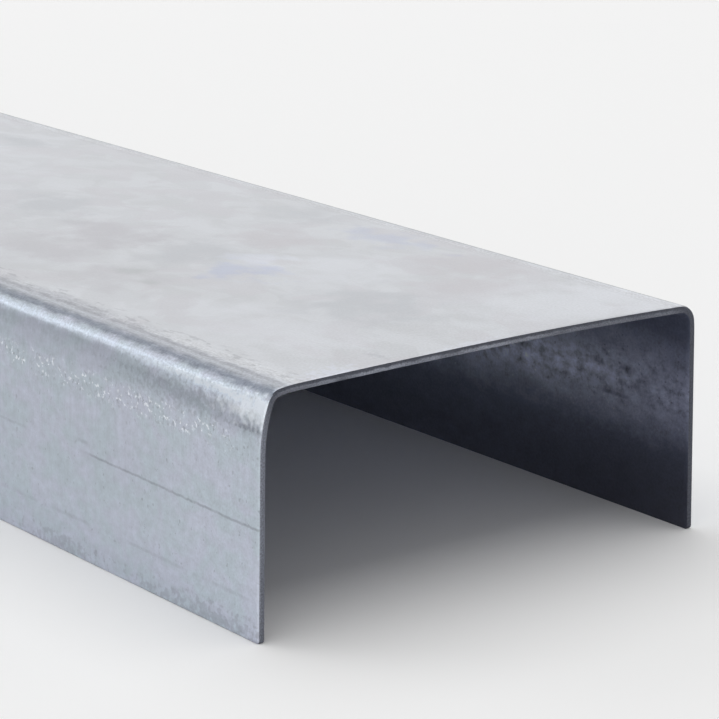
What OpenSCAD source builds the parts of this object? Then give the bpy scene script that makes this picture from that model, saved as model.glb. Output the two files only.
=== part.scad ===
// Galvanized steel channel: one strip of zinc-coated sheet, bent twice into a U and sheared to length.
// It lies as cut stock lies on a floor: web up, on the slit edges of its two flanges.
// Millimetres. +X runs along the length, +Y across the web, +Z up from the floor.

/* [Section] */
// Width over the outer faces of the two flanges
channel_width = 90; // [40:1:250]
// Height from the flange edges to the outer face of the web
flange_height = 40; // [15:1:120]
// Thickness of the sheet with its zinc
sheet_thickness = 1.2; // [0.5:0.1:3]
// Inside radius of the two bends
bend_radius = 2.2; // [0.5:0.1:6]

/* [Stock] */
// Length between the two sheared ends
stock_length = 1000; // [250:50:6000]

/* [Hidden] */
$fn = 96;
zinc_grey = [0.74, 0.76, 0.79];
// The sheet keeps its thickness round the bend, so both faces of a bend share one centre
outer_bend_radius = bend_radius + sheet_thickness;
inner_width = channel_width - 2 * sheet_thickness;
inner_height = flange_height - sheet_thickness;
// How far the inner shape runs on below the slit edges, so that the channel stays open there
open_side_overrun = 5;

// Upright block, as the sheet is bent over it: square at the foot, with its two upper corners rounded.
// It stands across y = 0, and its foot is lowered by drop.
module bend_block(width, height, corner_radius, drop = 0) {
    shoulder_height = height - corner_radius;
    corner_reach = width / 2 - corner_radius;
    translate([-width / 2, -drop])
        square([width, shoulder_height + drop]);
    translate([-corner_reach, 0])
        square([2 * corner_reach, height]);
    for (side = [-1, 1])
        translate([side * corner_reach, shoulder_height])
            circle(corner_radius);
}

// Cross-section of the bent sheet, with the web at the top and both flanges down to z = 0
module channel_section() {
    difference() {
        bend_block(channel_width, flange_height, outer_bend_radius);
        bend_block(inner_width, inner_height, bend_radius, open_side_overrun);
    }
}

// The stock itself, square cut at both ends
module channel() {
    color(zinc_grey)
        rotate([90, 0, 90])
            linear_extrude(stock_length, center = true)
                channel_section();
}

channel();
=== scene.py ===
"""Looks of the galvanized steel channel: the bent sheet as it was formed, its zinc and its sheared edges.

The stock lies web up along X. The sheared end that the photograph shows is at +X, and the front flange is
the one at -Y. Lengths are metres, and angles in the classes' fields are degrees.

Marks and finishes are laid out on the flat strip that the channel was bent from, in millimetres. A girth
is a distance across the strip from the middle of the web, negative on the front side. A place inward is
a distance along the stock from the photographed end.
"""

import logging
import math
from abc import ABC, abstractmethod
from dataclasses import dataclass, field, fields
from enum import IntEnum
from typing import Any, Mapping, Sequence, Union

import bmesh
import bpy
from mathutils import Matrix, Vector


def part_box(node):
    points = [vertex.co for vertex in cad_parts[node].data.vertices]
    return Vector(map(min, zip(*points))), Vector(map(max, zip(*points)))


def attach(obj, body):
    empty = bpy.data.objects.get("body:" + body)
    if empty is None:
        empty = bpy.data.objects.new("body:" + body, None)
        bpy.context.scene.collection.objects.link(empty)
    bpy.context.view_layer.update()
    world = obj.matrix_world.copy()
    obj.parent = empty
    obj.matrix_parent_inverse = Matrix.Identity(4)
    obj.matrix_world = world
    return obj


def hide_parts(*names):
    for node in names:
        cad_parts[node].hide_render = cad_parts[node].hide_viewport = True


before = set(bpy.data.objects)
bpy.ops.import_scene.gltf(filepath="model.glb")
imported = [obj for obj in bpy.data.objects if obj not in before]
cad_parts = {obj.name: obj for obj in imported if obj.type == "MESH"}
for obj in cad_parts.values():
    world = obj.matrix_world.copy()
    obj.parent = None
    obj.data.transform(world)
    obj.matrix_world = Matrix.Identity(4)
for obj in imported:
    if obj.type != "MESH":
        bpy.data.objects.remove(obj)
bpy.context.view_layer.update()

MM = 0.001
MM_PER_METRE = 1000.0
LOG = logging.getLogger("channel")

Pair = tuple[float, float]
Triple = tuple[float, float, float]
Number = Union["Value", float]


class SheetFace(IntEnum):
    """The finish that a face of the sheet takes, as its material's place on the mesh."""

    OUTER = 0
    INNER = 1
    SHEARED = 2


class Side(IntEnum):
    """Which of the two bends and flanges, as the sign of its Y."""

    FRONT = -1
    BACK = 1


# Shader maths


class Value:
    """A number socket, whose arithmetic adds Math nodes to the tree it belongs to."""

    def __init__(self, bench: "NodeBench", socket: bpy.types.NodeSocket) -> None:
        """Keeps the socket and the bench that adds its nodes."""
        self.bench = bench
        self.socket = socket

    def __add__(self, other: Number) -> "Value":
        """Adds two numbers."""
        return self.bench.math("ADD", self, other)

    def __sub__(self, other: Number) -> "Value":
        """Takes a number from the socket."""
        return self.bench.math("SUBTRACT", self, other)

    def __rsub__(self, other: float) -> "Value":
        """Takes the socket from a plain number."""
        return self.bench.math("SUBTRACT", other, self)

    def __mul__(self, other: Number) -> "Value":
        """Multiplies two numbers."""
        return self.bench.math("MULTIPLY", self, other)

    __radd__ = __add__
    __rmul__ = __mul__

    def __abs__(self) -> "Value":
        """Drops the sign."""
        return self.bench.math("ABSOLUTE", self)

    def root(self) -> "Value":
        """Gives the square root."""
        return self.bench.math("SQRT", self)

    def rise(self, low: float, high: float) -> "Value":
        """Eases from 0 at low to 1 at high.

        Args:
            low: Where the result is 0.
            high: Where the result is 1; if it is below low, the result falls as the value grows.

        Returns:
            The eased value, from 0 to 1.
        """
        falls = low > high
        first, last = sorted((low, high))
        inputs = {"Value": self, "From Min": first, "From Max": last}
        inputs |= {"To Min": float(falls), "To Max": float(not falls)}
        node = self.bench.add("ShaderNodeMapRange", {"interpolation_type": "SMOOTHSTEP"}, inputs)
        return Value(self.bench, node.outputs["Result"])

    def within(self, low: float, high: float, soft: float) -> "Value":
        """Is 1 from low to high, and eases to 0 over a soft margin outside."""
        return self.rise(low - soft, low) * self.rise(high + soft, high)


class NodeBench:
    """Adds nodes to one shader tree."""

    def __init__(self, tree: bpy.types.NodeTree) -> None:
        """Empties the tree, so that every node in it is one that was asked for."""
        self.tree = tree
        tree.nodes.clear()

    def add(
        self,
        kind: str,
        settings: Mapping[str, Any] | None = None,
        inputs: Mapping[Union[str, int], Any] | None = None,
    ) -> bpy.types.Node:
        """Adds any node.

        Args:
            kind: The node's type.
            settings: The node's own settings, which are set before its sockets.
            inputs: A value or a link for each socket, by name or number.

        Returns:
            The new node.
        """
        node = self.tree.nodes.new(kind)
        for name, setting in (settings or {}).items():
            setattr(node, name, setting)
        for key, given in (inputs or {}).items():
            self.feed(node.inputs[key], given)
        return node

    def feed(self, socket: bpy.types.NodeSocket, given: Any) -> None:
        """Links a socket to another one, or sets it to a plain number or colour.

        Args:
            socket: The input.
            given: A Value, an output socket, a number, or a colour or vector.
        """
        if isinstance(given, Value):
            given = given.socket
        if isinstance(given, bpy.types.NodeSocket):
            self.tree.links.new(given, socket)
        elif socket.type == "RGBA":
            socket.default_value = (*given, 1.0)
        else:
            socket.default_value = given

    def math(self, operation: str, *operands: Number) -> Value:
        """Adds one Math node on up to three numbers."""
        node = self.add("ShaderNodeMath", {"operation": operation}, dict(enumerate(operands)))
        return Value(self, node.outputs["Value"])

    def vector(self, operation: str, *operands: Any, scale: Number | None = None) -> bpy.types.Node:
        """Adds one Vector Math node.

        Args:
            operation: The node's operation.
            operands: Its vectors or colours.
            scale: Its factor, where the operation has one.

        Returns:
            The node, whose result is its Vector or its Value.
        """
        inputs: dict[Union[str, int], Any] = dict(enumerate(operands))
        if scale is not None:
            inputs["Scale"] = scale
        return self.add("ShaderNodeVectorMath", {"operation": operation}, inputs)

    def scaled(self, colour: Any, factor: Number) -> bpy.types.NodeSocket:
        """Makes a colour lighter or darker by a factor."""
        return self.vector("SCALE", colour, scale=factor).outputs["Vector"]

    def mix(self, share: Number, first: Any, second: Any) -> bpy.types.NodeSocket:
        """Blends from the first colour to the second as the share goes from 0 to 1."""
        node = self.add("ShaderNodeMix", {"data_type": "RGBA"}, {0: share, 6: first, 7: second})
        return node.outputs[2]

    def split(self, vector: bpy.types.NodeSocket) -> tuple[Value, Value, Value]:
        """Gives a vector's three numbers."""
        node = self.add("ShaderNodeSeparateXYZ", inputs={"Vector": vector})
        x, y, z = (Value(self, socket) for socket in node.outputs)
        return x, y, z

    def join(self, x: Number, y: Number) -> bpy.types.NodeSocket:
        """Makes a flat vector of two numbers."""
        return self.add("ShaderNodeCombineXYZ", inputs={"X": x, "Y": y}).outputs["Vector"]

    def attribute(self, name: str) -> Value:
        """Reads a number that the mesh keeps at each of its points."""
        return Value(self, self.add("ShaderNodeAttribute", {"attribute_name": name}).outputs["Fac"])

    def bump(self, height: Value, depth: float) -> bpy.types.NodeSocket:
        """Turns a height from 0 to 1 into a normal, for relief of the given depth in metres."""
        inputs = {"Height": height, "Distance": depth, "Strength": 1.0}
        return self.add("ShaderNodeBump", inputs=inputs).outputs["Normal"]

    def surface(self, inputs: Mapping[str, Any]) -> None:
        """Ends a material in one Principled shader with the given sockets."""
        shader = self.add("ShaderNodeBsdfPrincipled", inputs=inputs)
        self.add("ShaderNodeOutputMaterial", inputs={"Surface": shader.outputs["BSDF"]})


# Patterns on the strip


@dataclass(frozen=True)
class Pattern:
    """A cloudy noise: a blotch's length along and across the strip, its finer layers and its distortion."""

    along: float
    across: float
    detail: float = 2.0
    swirl: float = 0.0


CLOUDS = Pattern(7, 6, 5.0)
CRUMBS = Pattern(1.2, 1.2, 5.0)
FINE_CRUMBS = Pattern(0.8, 0.8, 5.0)
ROLLED = Pattern(3, 1, 5.0)
SWAY = Pattern(14, 8)
SHAKE = Pattern(0.8, 8)
WEAR = Pattern(3, 8, 3.0)


class StripMap:
    """Where a point lies on the strip before it was bent, in millimetres, and patterns on the strip."""

    SEED_STEP = 17.3
    SEED_SLANT = 0.61

    def __init__(self, bench: NodeBench, end: float, seed: float) -> None:
        """Reads a point's place.

        Args:
            bench: The material's nodes.
            end: Where the photographed end is along X, in metres.
            seed: Sets this material's patterns apart from another one's.
        """
        x, _, _ = bench.split(bench.add("ShaderNodeTexCoord").outputs["Object"])
        self.bench = bench
        self.inward = (end - x) * MM_PER_METRE
        self.tucked = (end - abs(x)) * MM_PER_METRE
        self.girth = bench.attribute("girth") * MM_PER_METRE
        self.depth = bench.attribute("depth")
        self.place = bench.join(x * MM_PER_METRE, self.girth)
        self.seed = seed
        self.made: dict[Pattern, Value] = {}

    def noise(self, pattern: Pattern) -> Value:
        """Gives a pattern's noise; asked for twice, it is the same noise.

        Each new pattern takes the next seed, so the order of asking sets how patterns fall.

        Args:
            pattern: The pattern.

        Returns:
            The noise about 0.5, mostly from 0.3 to 0.7.
        """
        if pattern not in self.made:
            self.seed += self.SEED_STEP
            pitch = (1.0 / pattern.along, 1.0 / pattern.across, 0.0)
            offset = (self.seed, self.SEED_SLANT * self.seed, 0.0)
            place = self.bench.vector("MULTIPLY_ADD", self.place, pitch, offset).outputs["Vector"]
            inputs = {"Vector": place, "Scale": 1.0, "Detail": pattern.detail, "Distortion": pattern.swirl}
            node = self.bench.add("ShaderNodeTexNoise", {"noise_dimensions": "2D"}, inputs)
            self.made[pattern] = Value(self.bench, node.outputs["Fac"])
        return self.made[pattern]

    def swing(self, pattern: Pattern) -> Value:
        """Gives a pattern's noise about 0."""
        return self.noise(pattern) - 0.5


# Marks on the zinc


@dataclass(frozen=True)
class Track:
    """A line along the strip, which may swerve as it comes to the photographed end."""

    girth: float
    swerve: float = 0.0
    reach: float = 40.0

    def off(self, strip: StripMap) -> Value:
        """How far a point lies from the line, across the strip."""
        if not self.swerve:
            return strip.girth - self.girth
        return strip.girth - self.girth - self.swerve * strip.inward.rise(self.reach, 0.0)


@dataclass(frozen=True)
class Mark(ABC):
    """Something that shows on the zinc, in its own colour."""

    colour: Triple
    strength: float

    @abstractmethod
    def mask(self, strip: StripMap) -> Value:
        """Where the mark is, from 0 to 1."""

    def cover(self, strip: StripMap) -> Value:
        """How far the mark hides the zinc, from 0 to its strength."""
        return self.mask(strip) * self.strength


@dataclass(frozen=True)
class Scratch(Mark):
    """A fine line along the stock, worn through in places."""

    track: Track
    width: float
    start: float
    stop: float
    fade: float = 6.0
    worn: float = 0.35
    sway: float = 0.5
    shake: float = 0.3
    core: float = 0.2
    wear_levels: Pair = (0.3, 0.6)

    def mask(self, strip: StripMap) -> Value:
        """Draws the scratch.

        Args:
            strip: The strip that it lies on.

        Returns:
            Where the scratch is, from 0 to 1.
        """
        wander = self.sway * strip.swing(SWAY) + self.shake * strip.swing(SHAKE)
        line = abs(self.track.off(strip) + wander).rise(self.width, self.core * self.width)
        whole = strip.inward.within(self.start, self.stop, self.fade)
        kept = strip.noise(WEAR).rise(*self.wear_levels)
        return line * whole * (self.worn + (1.0 - self.worn) * kept)


@dataclass(frozen=True)
class Stripe(Mark):
    """A ragged band along the whole stock."""

    track: Track
    half_width: float
    soft: float
    ragged: float
    grain: Pattern = ROLLED

    def mask(self, strip: StripMap) -> Value:
        """Where the band is, from 0 to 1."""
        off = abs(self.track.off(strip)) + self.ragged * strip.swing(self.grain)
        return off.rise(self.half_width + self.soft, self.half_width - self.soft)


@dataclass(frozen=True)
class Patch(Mark):
    """A ragged spot, whose grain is cloudy or crumbly."""

    inward: float
    girth: float
    half_length: float
    half_width: float
    ragged: float = 1.6
    grain: Pattern = CLOUDS
    core: float = 0.1

    def mask(self, strip: StripMap) -> Value:
        """Draws the spot.

        Args:
            strip: The strip that it lies on.

        Returns:
            Where the spot is, from 0 to 1.
        """
        along = (strip.inward - self.inward) * (1.0 / self.half_length)
        across = (strip.girth - self.girth) * (1.0 / self.half_width)
        far = (along * along + across * across).root()
        return (far + self.ragged * strip.swing(self.grain)).rise(1.0, self.core)


@dataclass(frozen=True)
class Flecks(Mark):
    """Small uneven flecks in clusters along a track, thinning out over a clear length at the shown end."""

    track: Track
    half_width: float
    length: float
    breadth: float
    rarity: float
    cluster: float = 4.0
    clear: float = 0.0
    cluster_breadth: float = 0.6
    cluster_levels: Pair = (0.36, 0.56)
    zone_edge: Pair = (1.2, 0.4)
    clear_edge: Pair = (0.4, 1.2)
    fleck_edge: float = 0.09

    def mask(self, strip: StripMap) -> Value:
        """Strews the flecks.

        Args:
            strip: The strip that they lie on.

        Returns:
            Where the flecks are, from 0 to 1.
        """
        cluster = strip.noise(Pattern(self.cluster, self.cluster_breadth * self.cluster))
        off = abs(self.track.off(strip)) + self.half_width * (cluster - 0.5)
        zone = off.rise(*(edge * self.half_width for edge in self.zone_edge))
        if self.clear:
            zone = zone * strip.inward.rise(*(edge * self.clear for edge in self.clear_edge))
        fleck = strip.noise(Pattern(self.length, self.breadth))
        fleck = fleck.rise(self.rarity, self.rarity + self.fleck_edge)
        return fleck * zone * cluster.rise(*self.cluster_levels)


# Finishes


def new_material(name: str) -> tuple[bpy.types.Material, NodeBench]:
    """Makes an empty material.

    Args:
        name: The material's name.

    Returns:
        The material, and the bench for its nodes.
    """
    material = bpy.data.materials.new(name)
    material.use_nodes = True
    return material, NodeBench(material.node_tree)


@dataclass(frozen=True)
class Finish(ABC):
    """One finish of the sheet, which draws its own material."""

    SEED = 0.0
    name: str

    @abstractmethod
    def sockets(self, strip: StripMap) -> dict[str, Any]:
        """What feeds the sockets of the material's shader."""

    def material(self, end: float) -> bpy.types.Material:
        """Makes the material.

        Args:
            end: Where the photographed end is along X, in metres.

        Returns:
            The material.
        """
        material, bench = new_material(self.name)
        bench.surface(self.sockets(StripMap(bench, end, self.SEED)))
        return material


@dataclass(frozen=True)
class Zones:
    """How far a point of the outer face belongs to each zone of the strip, from 0 to 1."""

    flange: Value
    bend: Value
    upper: Value
    foot: Value
    end: Value


@dataclass(frozen=True)
class Layer:
    """A pattern in the zinc, with its contrast and relief all over and what each zone adds to them."""

    pattern: Pattern
    contrast: float = 0.0
    on_flange: float = 0.0
    on_bend: float = 0.0
    on_upper: float = 0.0
    at_end: float = 0.0
    relief: float = 0.0
    bend_relief: float = 0.0

    def shade(self, strip: StripMap, zones: Zones) -> Value:
        """How much lighter or darker the pattern makes a point, as a share of its colour."""
        more = self.on_flange * zones.flange + self.on_bend * zones.bend + self.on_upper * zones.upper
        return (self.contrast + more + self.at_end * zones.end) * strip.swing(self.pattern)

    def height(self, strip: StripMap, zones: Zones) -> Value:
        """How far the pattern raises a point, as a share of the finish's depth."""
        return (self.relief + self.bend_relief * zones.bend) * strip.noise(self.pattern)


@dataclass(frozen=True)
class OuterZinc(Finish):
    """Hot-dip zinc outside: cloudy on the web, streaked and bluer on the flanges, darker there as painted
    shade, drawn at the bends.
    """

    SEED = 3.0
    web_pale: Triple
    web_dull: Triple
    web_lilac: Triple
    # The flanges' zinc is bluer and darker than the web's; the darkening is painted shade of the side faces
    shaded_flange_blue: Triple
    shaded_flange_lilac: Triple
    whitest: Triple
    marks: tuple[Mark, ...]
    # A patch of scuffed, duller zinc at the front bend's end, its pale colour a painted highlight
    scuff_highlight: Mark
    # Zones across the strip and along it
    off_centre: float = 1.25
    web_edge: float = 39.0
    flange_edge: float = 45.0
    bend_margin: float = 2.0
    upper_start: Pair = (45, 52)
    upper_stop: Pair = (70, 50)
    foot: Pair = (62, 82)
    end_reach: float = 40.0
    # Clouds of colour, in the order in which they are drawn, with the levels at which they set in
    cloud: Pattern = Pattern(30, 22, 4.0, 0.6)
    cloud_levels: Pair = (0.35, 0.65)
    flake: Pattern = Pattern(9, 7, 6.0, 0.5)
    flake_levels: Pair = (0.41, 0.59)
    blush: Pattern = Pattern(16, 12, 5.0, 0.5)
    blush_levels: Pair = (0.5, 0.59)
    blush_share: float = 0.6
    tint: Pattern = Pattern(7, 5, 5.0, 0.3)
    tint_levels: Pair = (0.35, 0.65)
    # Finer layers, in the order in which they are drawn
    blotch: Layer = Layer(Pattern(1.8, 1.6, 4.0), 0.04, on_flange=0.26, relief=0.3)
    streak: Layer = Layer(Pattern(0.5, 3.4, 3.0, 0.5), 0.02, on_flange=0.05, on_upper=0.14, relief=0.25)
    drawn: Layer = Layer(Pattern(60, 0.6, 3.0), on_bend=0.25, bend_relief=0.3)
    rolled: Layer = Layer(ROLLED, on_flange=0.09, on_bend=0.2)
    grain: Layer = Layer(
        Pattern(0.45, 0.45), 0.08, on_flange=0.06, on_bend=0.4, at_end=0.12, relief=0.2, bend_relief=1.2
    )
    # Painted light: how much lighter the flanges are made towards the ends and the feet
    end_painted_light: float = 0.06
    foot_painted_light: float = 0.07
    roughness: float = 0.46
    roughness_swing: float = 0.14
    relief_depth: float = 0.08 * MM
    scuff_dullness: float = 0.7

    def zones(self, strip: StripMap) -> Zones:
        """Finds the flanges, the bends, the flanges' upper parts and feet, and the stock's ends."""
        across = abs(strip.girth - self.off_centre)
        return Zones(
            flange=across.rise(self.web_edge, self.flange_edge),
            bend=across.within(self.web_edge, self.flange_edge, self.bend_margin),
            upper=across.rise(*self.upper_start) * across.rise(*self.upper_stop),
            foot=across.rise(*self.foot),
            end=strip.tucked.rise(self.end_reach, 0.0),
        )

    def clouded(self, strip: StripMap, zones: Zones) -> bpy.types.NodeSocket:
        """Gives the zinc its clouds of colour.

        Args:
            strip: The strip.
            zones: The strip's zones.

        Returns:
            The colour of clean zinc.
        """
        bench = strip.bench
        cloud = strip.noise(self.cloud).rise(*self.cloud_levels)
        flake = strip.noise(self.flake).rise(*self.flake_levels)
        blush = strip.noise(self.blush).rise(*self.blush_levels)
        tint = strip.noise(self.tint).rise(*self.tint_levels)
        web = bench.mix(0.5 * cloud + 0.5 * flake, self.web_dull, self.web_pale)
        web = bench.mix(self.blush_share * blush, web, self.web_lilac)
        return bench.mix(zones.flange, web, bench.mix(tint, self.shaded_flange_blue, self.shaded_flange_lilac))

    def sockets(self, strip: StripMap) -> dict[str, Any]:
        """Draws the finish.

        Args:
            strip: The strip that it covers.

        Returns:
            What feeds each socket of the shader.
        """
        bench = strip.bench
        zones = self.zones(strip)
        colour = self.clouded(strip, zones)
        # Painted light on the flanges towards the ends and the feet
        tone = 1.0 + zones.flange * (self.end_painted_light * zones.end + self.foot_painted_light * zones.foot)
        for layer in (self.blotch, self.streak, self.drawn, self.rolled, self.grain):
            tone = tone + layer.shade(strip, zones)
        for mark in self.marks:
            colour = bench.mix(mark.cover(strip), colour, mark.colour)
        # Scuffed zinc, lightened as a painted highlight
        scuff_highlight = self.scuff_highlight.cover(strip)
        colour = bench.mix(scuff_highlight, colour, self.scuff_highlight.colour)
        relief = self.grain.height(strip, zones)
        for layer in (self.streak, self.blotch, self.drawn):
            relief = relief + layer.height(strip, zones)
        colour = bench.vector("MINIMUM", bench.scaled(colour, tone), self.whitest).outputs["Vector"]
        uneven = strip.swing(self.cloud) + strip.swing(self.blotch.pattern)
        return {
            "Base Color": colour,
            "Metallic": 1.0 - self.scuff_dullness * scuff_highlight,
            "Roughness": self.roughness + self.roughness_swing * uneven,
            "Normal": bench.bump(relief, self.relief_depth),
        }


@dataclass(frozen=True)
class InnerZinc(Finish):
    """The zinc inside: plain far in; near the ends painted shade, dark at the feet and dull at the web,
    with a band of painted light on the back flange.
    """

    SEED = 91.0
    dark: Triple
    dull: Triple
    band_painted_light: Triple
    plain: Triple
    end_painted_shade: Triple
    far_lift: Triple
    band: Track
    marks: tuple[Mark, ...]
    # Painted shade from the dark foot of a flange to the dull web, lifted from the ends to the plain middle
    foot_to_web: Pair = (78, 60)
    lift: Pair = (-20, 150)
    plain_start: Pair = (100, 190)
    # The band of painted light on the back flange
    band_half_width: float = 11.0
    band_ragged: float = 6.0
    band_fade: Pair = (130, 65)
    # Patterns, in the order in which they are drawn, with their contrast and what the band adds to it
    cloud: Pattern = Pattern(14, 7, 4.0)
    crumb: Pattern = Pattern(5, 3, 4.0)
    crumb_contrast: Pair = (0.3, 0.5)
    mottle: Pattern = Pattern(2.0, 1.5, 5.0)
    mottle_contrast: Pair = (0.4, 1.5)
    grain: Pattern = Pattern(0.5, 0.5)
    grain_contrast: float = 0.5
    metallic: float = 0.3
    roughness: float = 0.55
    roughness_swing: float = 0.2
    relief_depth: float = 0.08 * MM

    def sockets(self, strip: StripMap) -> dict[str, Any]:
        """Draws the finish.

        Args:
            strip: The strip that it covers.

        Returns:
            What feeds each socket of the shader.
        """
        bench = strip.bench
        cloud, crumb, mottle, grain = map(strip.swing, (self.cloud, self.crumb, self.mottle, self.grain))
        ragged = abs(self.band.off(strip)) + self.band_ragged * (cloud + mottle)
        band = ragged.rise(self.band_half_width, 0.0) * strip.inward.rise(*self.band_fade)
        # Painted shade near the ends, with a lighter band of painted light on the back flange
        colour = bench.mix(abs(strip.girth).rise(*self.foot_to_web), self.dark, self.dull)
        colour = bench.mix(band, colour, self.band_painted_light)
        for mark in self.marks:
            colour = bench.mix(mark.cover(strip), colour, mark.colour)
        # Darker still at the ends as painted shade, lighter further in
        lift = bench.mix(strip.tucked.rise(*self.lift), self.end_painted_shade, self.far_lift)
        colour = bench.vector("MULTIPLY", colour, lift).outputs["Vector"]
        colour = bench.mix(strip.tucked.rise(*self.plain_start), colour, self.plain)
        tone = 1.0 + self.grain_contrast * grain
        for pattern, (contrast, in_band) in ((mottle, self.mottle_contrast), (crumb, self.crumb_contrast)):
            tone = tone + (contrast + in_band * band) * pattern
        relief = 0.5 * strip.noise(self.mottle) + 0.5 * strip.noise(self.grain)
        return {
            "Base Color": bench.scaled(colour, tone),
            "Metallic": self.metallic,
            "Roughness": self.roughness + self.roughness_swing * mottle,
            "Normal": bench.bump(relief, self.relief_depth),
        }


@dataclass(frozen=True)
class ShearedSteel(Finish):
    """Bare steel of the sheared ends and slit edges.

    Along the web a dark land lies over a paler, torn band. The front flange's edge is an even grey, paler
    at its outer side. Depths are shares of the sheet's thickness.
    """

    SEED = 47.0
    land: Triple
    torn: Triple
    dull: Triple
    sheet: float = 1.2
    # Patterns, in the order in which they are drawn
    ragged: Pattern = Pattern(1.6, 3, 4.0)
    patchy: Pattern = Pattern(9, 9)
    speck: Pattern = Pattern(0.3, 0.22, 3.0)
    speck_contrast: float = 1.3
    # The torn band: its depth, how it comes and goes, and where it is strongest and ends across the strip
    torn_depth: Pair = (0.36, 0.62)
    torn_ragged: float = 0.5
    torn_patches: Pair = (0.2, 0.6)
    torn_share: Pair = (0.42, 0.58)
    torn_middle: Pair = (-25, 0.0)
    torn_middle_fade: float = 18.0
    torn_stop: Pair = (44, 38)
    # The front flange's edge
    front_start: Pair = (-42, -50)
    dull_share: Pair = (0.6, 0.5)
    pale_share: float = 0.8
    pale_depth: Pair = (0.5, 0.25)
    roughness: float = 0.5
    relief_depth: float = 0.05 * MM

    def sockets(self, strip: StripMap) -> dict[str, Any]:
        """Draws the finish.

        Args:
            strip: The strip that it covers.

        Returns:
            What feeds each socket of the shader.
        """
        bench = strip.bench
        strip.place = bench.join(strip.girth, strip.depth * self.sheet)
        ragged, patchy, speck = map(strip.noise, (self.ragged, self.patchy, self.speck))
        torn = (strip.depth + self.torn_ragged * (ragged - 0.5)).rise(*self.torn_depth)
        torn = torn * patchy.rise(*self.torn_patches) * strip.girth.rise(*self.torn_stop)
        least, more = self.torn_share
        torn = torn * (least + more * strip.girth.within(*self.torn_middle, self.torn_middle_fade))
        colour = bench.mix(torn, self.land, self.torn)
        front = strip.girth.rise(*self.front_start)
        least, more = self.dull_share
        colour = bench.mix(front * (least + more * patchy), colour, self.dull)
        colour = bench.mix(self.pale_share * front * strip.depth.rise(*self.pale_depth), colour, self.torn)
        return {
            "Base Color": bench.scaled(colour, 1.0 + self.speck_contrast * (speck - 0.5)),
            "Metallic": 1.0,
            "Roughness": self.roughness,
            "Normal": bench.bump(speck, self.relief_depth),
        }


# The formed section


@dataclass(frozen=True)
class Bend:
    """One bend of the strip: a tight core, with an easy lead on either side of it.

    The start is a girth, the turns are angles, and the crown is how far the web has dropped at the start.
    """

    start: float
    radius: float
    web_lead: float
    web_turn: float
    flange_lead: float
    flange_turn: float
    crown: float
    flange_ease: float = 0.25

    @property
    def stop(self) -> float:
        """The girth by which the bend is done."""
        return self.start + self.web_lead + self.radius * math.pi / 2.0 + self.flange_lead

    def blended(self, other: "Bend", share: float) -> "Bend":
        """Gives a bend part of the way to another one.

        Args:
            other: The bend at share 1.
            share: How far, from 0 to 1.

        Returns:
            The bend between the two.
        """
        pairs = ((getattr(self, f.name), getattr(other, f.name)) for f in fields(self))
        return Bend(*(mine + share * (theirs - mine) for mine, theirs in pairs))

    def turned(self, girth: float, total: float) -> float:
        """How far the strip has turned at a girth.

        Args:
            girth: Distance from the middle of the web.
            total: The whole turn, in radians.

        Returns:
            The turn so far, in radians.
        """
        web_turn, flange_turn = math.radians(self.web_turn), math.radians(self.flange_turn)
        core_turn = total - web_turn - flange_turn
        web_share = min(max((girth - self.start) / self.web_lead, 0.0), 1.0)
        into_core = girth - self.start - self.web_lead
        core_share = min(max(into_core / (core_turn * self.radius), 0.0), 1.0)
        into_flange = into_core - core_turn * self.radius
        flange_share = min(max(into_flange / self.flange_lead, 0.0), 1.0)
        flange_eased = flange_share * (1.0 + self.flange_ease - self.flange_ease * flange_share)
        return web_turn * web_share**2 + core_turn * core_share + flange_turn * flange_eased


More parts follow.
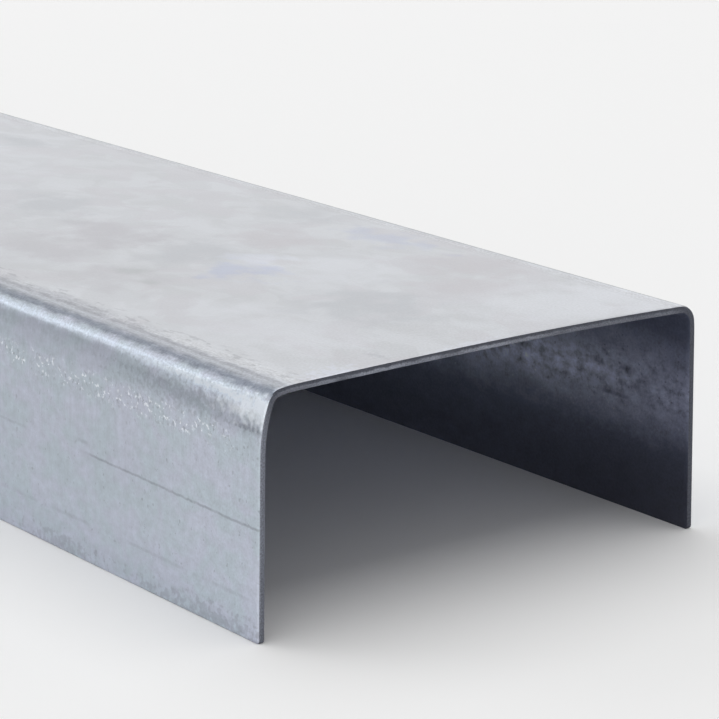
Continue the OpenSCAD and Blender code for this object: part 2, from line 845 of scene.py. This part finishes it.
@dataclass
class FormedSection:
    """The section as the strip was bent: crowned web, eased bends, flanges sprung open a little."""

    width: float
    height: float
    half_length: float
    half_strip: float = 81.6 * MM
    spring: float = 1.1
    step: float = 0.1 * MM
    end_reach: float = 60.0 * MM
    back: Bend = Bend(40.4 * MM, 3.2 * MM, 1.6 * MM, 5.0, 2.0 * MM, 6.0, 0.75 * MM)
    front: Bend = Bend(38.8 * MM, 3.3 * MM, 2.6 * MM, 6.0, 4.5 * MM, 11.0, 0.3 * MM)
    front_end: Bend = Bend(36.7 * MM, 3.0 * MM, 4.7 * MM, 8.1, 8.8 * MM, 21.5, 0.3 * MM)
    tables: dict[tuple[Side, float], list[Triple]] = field(default_factory=dict)

    def bend(self, side: Side, x: float) -> Bend:
        """Gives the bend of one side at a place along the stock.

        Args:
            side: Front or back.
            x: Place along the length.

        Returns:
            The bend there; the front one opens out towards the photographed end.
        """
        if side is Side.BACK:
            return self.back
        share = min(max(1.0 - (self.half_length - x) / self.end_reach, 0.0), 1.0)
        return self.front.blended(self.front_end, share * share)

    def table(self, side: Side, x: float) -> list[Triple]:
        """Works out half of the section by walking along the strip.

        Args:
            side: Front or back.
            x: Place along the length.

        Returns:
            The outer face's distance from the middle, its height and its slope in radians, step by step.
        """
        key = (side, round(x, 6))
        if key not in self.tables:
            bend = self.bend(side, x)
            edge_slope = 2.0 * bend.crown / bend.start
            total = math.radians(90.0 - self.spring) - edge_slope
            count = math.ceil(self.half_strip / self.step)
            pace = self.half_strip / count
            rows: list[Triple] = [(0.0, self.height, 0.0)]
            for index in range(count):
                girth = (index + 0.5) * pace
                slope = edge_slope * min(girth / bend.start, 1.0) + bend.turned(girth, total)
                out, up, _ = rows[-1]
                rows.append((out + pace * math.cos(slope), up - pace * math.sin(slope), slope))
            self.tables[key] = self.trimmed(rows, bend, pace)
        return self.tables[key]

    def trimmed(self, rows: Sequence[Triple], bend: Bend, pace: float) -> list[Triple]:
        """Brings the flange's edge to the floor and to its place across.

        Args:
            rows: Half of the section, step by step.
            bend: Its bend.
            pace: The length of a step.

        Returns:
            The rows, with the small difference spread over the web and over the flange.
        """
        short_out, short_up = self.width / 2.0 - rows[-1][0], -rows[-1][1]
        trimmed = []
        for index, (out, up, slope) in enumerate(rows):
            across = min(index * pace / bend.start, 1.0)
            down = max(index * pace - bend.stop, 0.0) / (self.half_strip - bend.stop)
            trimmed.append((out + short_out * across, up + short_up * down, slope))
        return trimmed

    def place(self, x: float, girth: float, depth: float) -> Vector:
        """Where a point of the flat strip comes to lie in the formed channel.

        Args:
            x: Place along the length.
            girth: Distance across the strip from its middle, negative on the front side.
            depth: Distance below the outer face.

        Returns:
            The formed point.
        """
        side = Side.FRONT if girth < 0.0 else Side.BACK
        rows = self.table(side, x)
        at = min(abs(girth) / self.half_strip, 1.0) * (len(rows) - 1)
        low = min(int(at), len(rows) - 2)
        out, up, slope = (a + (at - low) * (b - a) for a, b in zip(rows[low], rows[low + 1]))
        return Vector((x, side * (out - depth * math.sin(slope)), up - depth * math.cos(slope)))


def graded(reach: float, first: float, growth: float, longest_last: float = 1.6) -> list[float]:
    """Steps that start fine and grow.

    Args:
        reach: The whole distance.
        first: The first step.
        growth: How much longer each next step is.
        longest_last: How much longer than its turn the last step may be.

    Returns:
        The distances from 0 to reach.
    """
    places, step = [0.0], first
    while places[-1] + longest_last * step < reach:
        places.append(places[-1] + step)
        step *= growth
    return [*places, reach]


def even(start: float, stop: float, step: float) -> list[float]:
    """Places from start up to, but without, stop, at about the given step."""
    count = max(1, round((stop - start) / step))
    return [start + (stop - start) * i / count for i in range(count)]


# The channel


@dataclass
class Channel:
    """The stock: one strip of zinc-coated sheet, bent twice and sheared to length."""

    node: str
    body: str
    slot: str
    sheet: float = 1.2 * MM
    # Mesh steps
    end_step: float = 1.0 * MM
    step_growth: float = 1.06
    web_step: float = 4.0 * MM
    bend_step: float = 0.3 * MM
    flange_step: float = 2.4 * MM
    # Rounding, and how many flats it has
    corner_round: float = 0.5 * MM
    corner_flats: int = 3
    lip_round: float = 0.4 * MM
    lip_flats: int = 4
    burr_round: float = 0.07 * MM
    burr_flats: int = 2
    # How far up outer and inner faces of the flat strip look, and the zinc smeared over the lip
    outer_up: float = 0.7
    inner_up: float = -0.5
    smeared_from: float = -42.0 * MM
    smeared_over: float = 2.5 * MM
    smeared_drop: float = 0.4
    half_length: float = field(init=False)
    section: FormedSection = field(init=False)

    def __post_init__(self) -> None:
        """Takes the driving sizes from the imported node."""
        low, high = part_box(self.node)
        self.half_length = (high[0] - low[0]) / 2.0
        self.section = FormedSection(high[1] - low[1], high[2] - low[2], self.half_length)

    def girth_lines(self) -> list[float]:
        """Where the strip's mesh lines run along its length.

        Returns:
            Their distances across the strip, close together over the bends.
        """
        section = self.section
        lines: set[float] = set()
        for side, bends in ((Side.FRONT, (section.front, section.front_end)), (Side.BACK, (section.back,))):
            start, stop = min(bend.start for bend in bends), max(bend.stop for bend in bends)
            web = even(0.0, start, self.web_step)
            turn = even(start, stop, self.bend_step)
            flange = even(stop, section.half_strip, self.flange_step)
            lines |= {side * place for place in (*web, *turn, *flange, section.half_strip)}
        return sorted(lines)

    def strip(self) -> bmesh.types.BMesh:
        """Makes the flat strip, outer face up at z = 0.

        Returns:
            The strip with its thickness, rounded corners, rolled lips and small burrs.
        """
        ends = graded(self.half_length, self.end_step, self.step_growth)
        along = sorted({side * (self.half_length - place) for side in Side for place in ends})
        across = self.girth_lines()
        mesh = bmesh.new()
        columns, rows = len(along) - 1, len(across) - 1
        bmesh.ops.create_grid(mesh, x_segments=columns, y_segments=rows, size=0.5)
        for vert in mesh.verts:
            vert.co.x = along[round((vert.co.x + 0.5) * columns)]
            vert.co.y = across[round((vert.co.y + 0.5) * rows)]
        corners = [vert for vert in mesh.verts if len(vert.link_faces) == 1]
        self.rounded(mesh, corners, self.corner_round, self.corner_flats, "VERTICES")
        bmesh.ops.solidify(mesh, geom=mesh.faces[:], thickness=self.sheet)
        self.rounded(mesh, self.rim(mesh, 0.0), self.lip_round, self.lip_flats, "EDGES")
        self.rounded(mesh, self.rim(mesh, -self.sheet), self.burr_round, self.burr_flats, "EDGES")
        mesh.normal_update()
        return mesh

    def rim(self, mesh: bmesh.types.BMesh, level: float) -> list[bmesh.types.BMEdge]:
        """Finds the sharp edges round one face of the strip.

        Args:
            mesh: The flat strip with its thickness.
            level: The face's z.

        Returns:
            The edges between that face and the cut faces.
        """
        mesh.normal_update()
        return [
            edge
            for edge in mesh.edges
            if all(abs(vert.co.z - level) < self.sheet / 100.0 for vert in edge.verts)
            and abs(edge.link_faces[0].normal.dot(edge.link_faces[1].normal)) < 0.5
        ]

    @staticmethod
    def rounded(
        mesh: bmesh.types.BMesh, geom: Sequence[Any], radius: float, segments: int, affect: str
    ) -> None:
        """Rounds corners or edges.

        Args:
            mesh: The mesh.
            geom: The vertices or edges.
            radius: The rounding.
            segments: How many flats it has.
            affect: VERTICES or EDGES.
        """
        bmesh.ops.bevel(
            mesh, geom=geom, offset=radius, segments=segments, profile=0.5, affect=affect, material=-1
        )

    def face_of(self, face: bmesh.types.BMFace) -> SheetFace:
        """Tells which finish a face of the flat strip takes.

        Args:
            face: The face.

        Returns:
            Its finish; on the front side the outer zinc reaches further down the rounded lip.
        """
        up = face.normal.z
        beyond = (self.smeared_from - face.calc_center_median().y) / self.smeared_over
        if up > self.outer_up - self.smeared_drop * min(max(beyond, 0.0), 1.0):
            return SheetFace.OUTER
        return SheetFace.INNER if up < self.inner_up else SheetFace.SHEARED

    def build(self) -> bpy.types.Object:
        """Bends the strip into the channel.

        Returns:
            The channel's object, with each point's girth and its depth as a share of the sheet.
        """
        strip = self.strip()
        for face in strip.faces:
            face.material_index = self.face_of(face)
            face.smooth = True
        for edge in strip.edges:
            edge.smooth = len({face.material_index for face in edge.link_faces}) == 1
        girths = [vert.co.y for vert in strip.verts]
        depths = [-vert.co.z / self.sheet for vert in strip.verts]
        for vert in strip.verts:
            vert.co = self.section.place(vert.co.x, vert.co.y, -vert.co.z)
        data = bpy.data.meshes.new("channel_sheet")
        strip.to_mesh(data)
        strip.free()
        for name, values in (("girth", girths), ("depth", depths)):
            data.attributes.new(name, "FLOAT", "POINT").data.foreach_set("value", values)
        piece = bpy.data.objects.new("channel_sheet", data)
        bpy.context.scene.collection.objects.link(piece)
        return piece

    def dress(self, piece: bpy.types.Object, finishes: Mapping[SheetFace, Finish]) -> None:
        """Gives the channel its finishes and its place in the frame.

        Args:
            piece: The channel's object.
            finishes: The finish of each face of the sheet.
        """
        for face in SheetFace:
            piece.data.materials.append(finishes[face].material(self.half_length))
        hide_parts(self.node)
        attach(piece, self.body)
        LOG.info("%s: %d faces", piece.name, len(piece.data.polygons))


# Studio


@dataclass(frozen=True)
class Softbox:
    """An area lamp that looks at a point."""

    name: str
    place: Triple
    aim: Triple
    width: float
    height: float
    radiance: float

    def build(self) -> None:
        """Hangs the lamp; it lights and is mirrored, but the camera doesn't see it."""
        lamp = bpy.data.lights.new(self.name, "AREA")
        lamp.shape = "RECTANGLE"
        lamp.size, lamp.size_y = self.width, self.height
        lamp.energy = self.radiance * math.pi * self.width * self.height
        holder = bpy.data.objects.new(self.name, lamp)
        holder.location = self.place
        holder.rotation_euler = (Vector(self.aim) - Vector(self.place)).to_track_quat("-Z", "Y").to_euler()
        holder.visible_camera = False
        bpy.context.scene.collection.objects.link(holder)
        LOG.info("%s: radiance %.2f", self.name, self.radiance)


@dataclass(frozen=True)
class Dome:
    """The room round the stock: a pale sweep at the horizon, a greyer ceiling, and one dim corner."""

    sweep: float = 1.16
    ceiling: float = 0.36
    sweep_top: float = 0.36
    sweep_fade: float = 0.12
    dim_level: float = 0.2
    dim_towards: Triple = (-0.75, -0.655, 0.09)
    dim_inner: float = 0.95
    dim_outer: float = 0.74

    def build(self) -> None:
        """Sets the scene's world."""
        world = bpy.data.worlds.new("room")
        world.use_nodes = True
        bench = NodeBench(world.node_tree)
        towards = bench.add("ShaderNodeTexCoord").outputs["Generated"]
        _, _, up = bench.split(towards)
        high = up.rise(self.sweep_top - self.sweep_fade, self.sweep_top + self.sweep_fade)
        facing = Value(bench, bench.vector("DOT_PRODUCT", towards, self.dim_towards).outputs["Value"])
        dim = facing.rise(self.dim_outer, self.dim_inner)
        level = self.sweep + (self.ceiling - self.sweep) * high
        level = level * (1.0 - dim) + self.dim_level * dim
        light = bench.add("ShaderNodeBackground", inputs={"Color": level, "Strength": 1.0})
        bench.add("ShaderNodeOutputWorld", inputs={"Surface": light.outputs["Background"]})
        bpy.context.scene.world = world
        LOG.info("room: sweep %.2f, ceiling %.2f", self.sweep, self.ceiling)


@dataclass(frozen=True)
class Floor:
    """The plain pale floor."""

    half_side: float = 12.0
    tone: Triple = (0.97, 0.97, 0.97)

    def build(self) -> None:
        """Lays the floor under the stock."""
        mesh = bmesh.new()
        bmesh.ops.create_grid(mesh, x_segments=1, y_segments=1, size=self.half_side)
        data = bpy.data.meshes.new("floor")
        mesh.to_mesh(data)
        mesh.free()
        material, bench = new_material("floor_paper")
        bench.surface({"Base Color": self.tone, "Roughness": 1.0, "Specular IOR Level": 0.0})
        data.materials.append(material)
        floor = bpy.data.objects.new("floor", data)
        bpy.context.scene.collection.objects.link(floor)
        LOG.info("floor: %.0f m wide", 2.0 * self.half_side)


@dataclass(frozen=True)
class PhotoCamera:
    """The photograph's viewpoint, measured from the middle of the sheared end's foot line."""

    ahead: float = 338.57 * MM
    aside: float = -286.75 * MM
    above: float = 158.99 * MM
    azimuth: float = 52.365
    elevation: float = 15.389
    lens: float = 147.51
    sensor: float = 36.0
    nearest: float = 10.0 * MM

    def build(self, end: float) -> None:
        """Sets the camera up.

        Args:
            end: Where the sheared end is along X.
        """
        data = bpy.data.cameras.new("photo_camera")
        data.sensor_fit = "HORIZONTAL"
        data.sensor_width = self.sensor
        data.lens = self.lens
        data.clip_start = self.nearest
        camera = bpy.data.objects.new("photo_camera", data)
        camera.location = (end + self.ahead, self.aside, self.above)
        camera.rotation_euler = (math.radians(90.0 - self.elevation), 0.0, math.radians(self.azimuth))
        bpy.context.scene.collection.objects.link(camera)
        bpy.context.scene.camera = camera


LAMPS = (
    Softbox("overhead_scrim", (-0.92, 0.0, 7.2), (-0.92, 0.0, 0.0), width=10.5, height=10.5, radiance=1.1),
    Softbox("bend_light", (-4.58, -3.19, 2.92), (0.46, -0.04, 0.04), width=3.9, height=2.4, radiance=1.8),
)

# Colours of the marks
PALE = (0.795, 0.815, 0.861)
GREY_BLUE = (0.63, 0.651, 0.686)
GREY_LILAC = (0.634, 0.634, 0.67)
GREY_GREEN = (0.52, 0.555, 0.56)
BROWN_LILAC = (0.668, 0.658, 0.692)
BLUE = (0.60, 0.64, 0.775)
FROST = (0.82, 0.85, 0.94)
# Painted shade along the front bend, over a thin die line
BEND_SHADE_AND_DIE_LINE = (0.41, 0.425, 0.475)
# A painted sheen along the front bend
PAINTED_SHEEN = (0.64, 0.67, 0.72)
SHADE = (0.24, 0.27, 0.33)
# Painted shade along the back bend
BACK_BEND_SHADE = (0.36, 0.38, 0.40)
SOOT = (0.17, 0.18, 0.22)
DIRT = (0.30, 0.305, 0.36)
# Bright zinc crystals, painted as glints
PAINTED_GLINT = (0.90, 0.93, 0.97)
# Painted highlights along the front bend and at its end
PAINTED_HIGHLIGHT = (0.79, 0.87, 0.985)
# The brightest painted highlight
PAINTED_HIGHLIGHT_PEAK = (0.845, 0.92, 1.0)
# Scuffed zinc, pale as a painted highlight
SCUFF_HIGHLIGHT_TONE = (0.86, 0.90, 0.955)
INNER_BLACK = (0.02, 0.02, 0.03)
INNER_SPARK = (0.40, 0.42, 0.48)

# Each mark starts with its colour and strength. A patch then has its place inward and girth, and its half
# length and half width. Other marks have their track and width, then the rest in their fields' order.
OUTER_MARKS = (
    # Along the front bend, from the web to the flange: painted shade, a painted sheen, painted highlights
    # and painted glints, with dark crumbs and smudges
    Patch(BEND_SHADE_AND_DIE_LINE, 0.45, 62, -37.6, 34, 2.6, 1.2),
    Stripe(BEND_SHADE_AND_DIE_LINE, 0.6, Track(-40.7, -0.5), 1.7, 1.7, 3),
    # A thin dark die line where the bend starts, deepened with painted shade
    Stripe(BEND_SHADE_AND_DIE_LINE, 0.55, Track(-39.0, -1.0, 50), 0.4, 0.4, 1.2),
    Stripe(PAINTED_SHEEN, 0.5, Track(-40.3, -0.6, 50), 0.4, 0.4, 1.2),
    Flecks(SOOT, 0.25, Track(-36.3), 2.4, 3.2, 1.1, 0.55, 7),
    # Light flecks on the chips, painted as glints
    Flecks(PAINTED_GLINT, 0.2, Track(-36.7), 2.2, 2.4, 1.0, 0.60, 7),
    Stripe(SHADE, 0.7, Track(-42.1, -0.5, 50), 0.75, 0.75, 1.6),
    Patch(SHADE, 0.5, 0.0, -43.2, 18, 1.2, 0.8, CRUMBS),
    Stripe(SHADE, 0.13, Track(-48.3), 1.7, 0.8, 2.4, CRUMBS),
    Stripe(SHADE, 0.2, Track(-45.9, -2.8, 55), 0.9, 0.9, 2.4, CRUMBS),
    # Painted highlights along the front bend, at its end and on its lip
    Stripe(PAINTED_HIGHLIGHT, 0.75, Track(-44.3, -0.6, 45), 0.6, 0.7, 1.2),
    Patch(PAINTED_HIGHLIGHT, 0.95, 4, -45.3, 38, 1.6, 1.2, CRUMBS),
    Patch(PAINTED_HIGHLIGHT_PEAK, 0.9, 16, -44.8, 26, 0.9, 0.9, CRUMBS),
    # Dark crumbs, which also paint shade below the highlight near the end
    Patch(SOOT, 0.22, 20, -47.9, 17, 2.4, 5.0, FINE_CRUMBS),
    Patch(SOOT, 0.5, 3.5, -49.0, 5, 0.7, 1.6, FINE_CRUMBS),
    Patch(PAINTED_HIGHLIGHT, 0.6, 0.0, -46.2, 1.8, 2.6, 1.2, CRUMBS),
    # On the web
    Patch(PALE, 0.5, 200, 8, 80, 34, 1.0),
    Patch(PALE, 0.7, 12, 26, 24, 24, 1.4),
    Patch(PALE, 0.8, 4, 38, 24, 12, 1.2),
    Patch(PALE, 0.55, 52, 9, 17, 15, 2.0),
    Patch(PALE, 0.6, 26, -22, 28, 14, 1.6),
    Patch(BROWN_LILAC, 0.8, 76, 15, 12, 12),
    Patch(GREY_BLUE, 0.75, 77, -3, 14, 15),
    Patch(GREY_LILAC, 0.85, 98, -5, 18, 11),
    Patch(GREY_LILAC, 0.75, 97, -21, 18, 12),
    Patch(GREY_BLUE, 0.75, 126, -2, 16, 11),
    Patch(GREY_BLUE, 0.65, 92, 32, 15, 8),
    Patch(GREY_BLUE, 0.75, 183, 27, 18, 6),
    Patch(BROWN_LILAC, 0.8, 41, 30, 16, 13),
    Patch(BROWN_LILAC, 0.7, 31, 19, 10, 13),
    Patch(GREY_BLUE, 0.75, 28, -2, 19, 15, 2.0),
    Patch(GREY_LILAC, 0.6, 70, -23, 14, 10, 2.2),
    Patch(BLUE, 0.5, 65, 33, 16, 6.5, 2.2),
    Patch(FROST, 0.5, 66, 3, 8, 7, 2.4),
    Patch(BLUE, 0.65, 61, -3.5, 9, 7, 2.8),
    Patch(GREY_GREEN, 0.4, 65, -21, 4, 2),
    Patch(GREY_GREEN, 0.4, 73, -19, 4, 4, 2.2),
    Patch(SOOT, 0.15, 4.5, -19.5, 3.5, 1.6, 2.2, CRUMBS),
    Patch(FROST, 0.6, 1.0, -31, 4, 7, 2.2, CRUMBS),
    Patch(FROST, 0.45, 0.3, -3, 2.2, 9, 2.2, CRUMBS),
    # Painted shade along the back bend
    Stripe(BACK_BEND_SHADE, 0.6, Track(42.6), 0.7, 0.4, 0.4),
    # On the front flange
    # Bright crystals painted as glints, then dark specks
    Flecks(PAINTED_GLINT, 0.75, Track(-52.0), 2.4, 0.8, 0.8, 0.58, clear=10),
    Flecks(SOOT, 0.35, Track(-52.0), 2.8, 0.7, 0.8, 0.60),
    Flecks(SOOT, 0.35, Track(-66.0), 18.0, 0.8, 1.1, 0.68, 7),
    Scratch(SOOT, 0.42, Track(-63.6, -0.4, 60), 0.32, 0.0, 44, worn=0.6),
    Scratch(SOOT, 0.22, Track(-63.6), 0.35, 68, 73, fade=3),
    Patch(SOOT, 0.3, 48.5, -61.9, 2.5, 0.7),
    Scratch(SOOT, 0.15, Track(-75.2), 0.45, 5, 72, worn=0.0),
    Patch(DIRT, 0.38, 12, -80.6, 22, 2.2, 4.6, CRUMBS),
    Patch(DIRT, 0.34, 56, -80.6, 12, 1.8, 4.6, CRUMBS),
)
# Scuffed, duller zinc at the front bend's end, pale as a painted highlight
SCUFF_HIGHLIGHT_PATCH = Patch(SCUFF_HIGHLIGHT_TONE, 0.65, 0.0, -46.3, 16, 3.3, 1.5, CRUMBS)

INNER_MARKS = (
    Scratch(INNER_BLACK, 0.4, Track(62.4), 0.55, 15.6, 20.6, fade=2.0, worn=0.7),
    Flecks(INNER_BLACK, 0.5, Track(57.0), 9.0, 0.8, 0.8, 0.68, 6),
    Flecks(INNER_SPARK, 0.4, Track(60.0), 8.0, 0.6, 0.6, 0.66, 6),
)

FINISHES: dict[SheetFace, Finish] = {
    SheetFace.OUTER: OuterZinc(
        "zinc_outer",
        web_pale=(0.753, 0.772, 0.808),
        web_dull=(0.685, 0.701, 0.731),
        web_lilac=(0.698, 0.698, 0.736),
        shaded_flange_blue=(0.507, 0.566, 0.621),
        shaded_flange_lilac=(0.543, 0.571, 0.656),
        whitest=(0.87, 0.925, 1.0),
        marks=OUTER_MARKS,
        scuff_highlight=SCUFF_HIGHLIGHT_PATCH,
    ),
    SheetFace.INNER: InnerZinc(
        "zinc_inner",
        dark=(0.040, 0.044, 0.073),
        dull=(0.088, 0.1, 0.161),
        band_painted_light=(0.278, 0.299, 0.435),
        plain=(0.50, 0.54, 0.59),
        end_painted_shade=(0.67, 0.67, 0.67),
        far_lift=(5.6, 5.57, 4.5),
        band=Track(59.2),
        marks=INNER_MARKS,
    ),
    SheetFace.SHEARED: ShearedSteel(
        "sheared_steel",
        land=(0.085, 0.09, 0.11),
        torn=(0.26, 0.275, 0.32),
        dull=(0.195, 0.207, 0.245),
    ),
}


def main() -> None:
    """Builds the channel, then the studio round it."""
    logging.basicConfig(level=logging.INFO, format="%(message)s")
    bpy.context.scene.view_settings.view_transform = "Standard"
    channel = Channel("channel", "root", "galvanized_steel")
    channel.dress(channel.build(), FINISHES)
    PhotoCamera().build(channel.half_length)
    Floor().build()
    Dome().build()
    for lamp in LAMPS:
        lamp.build()


if __name__ == "__main__":
    main()
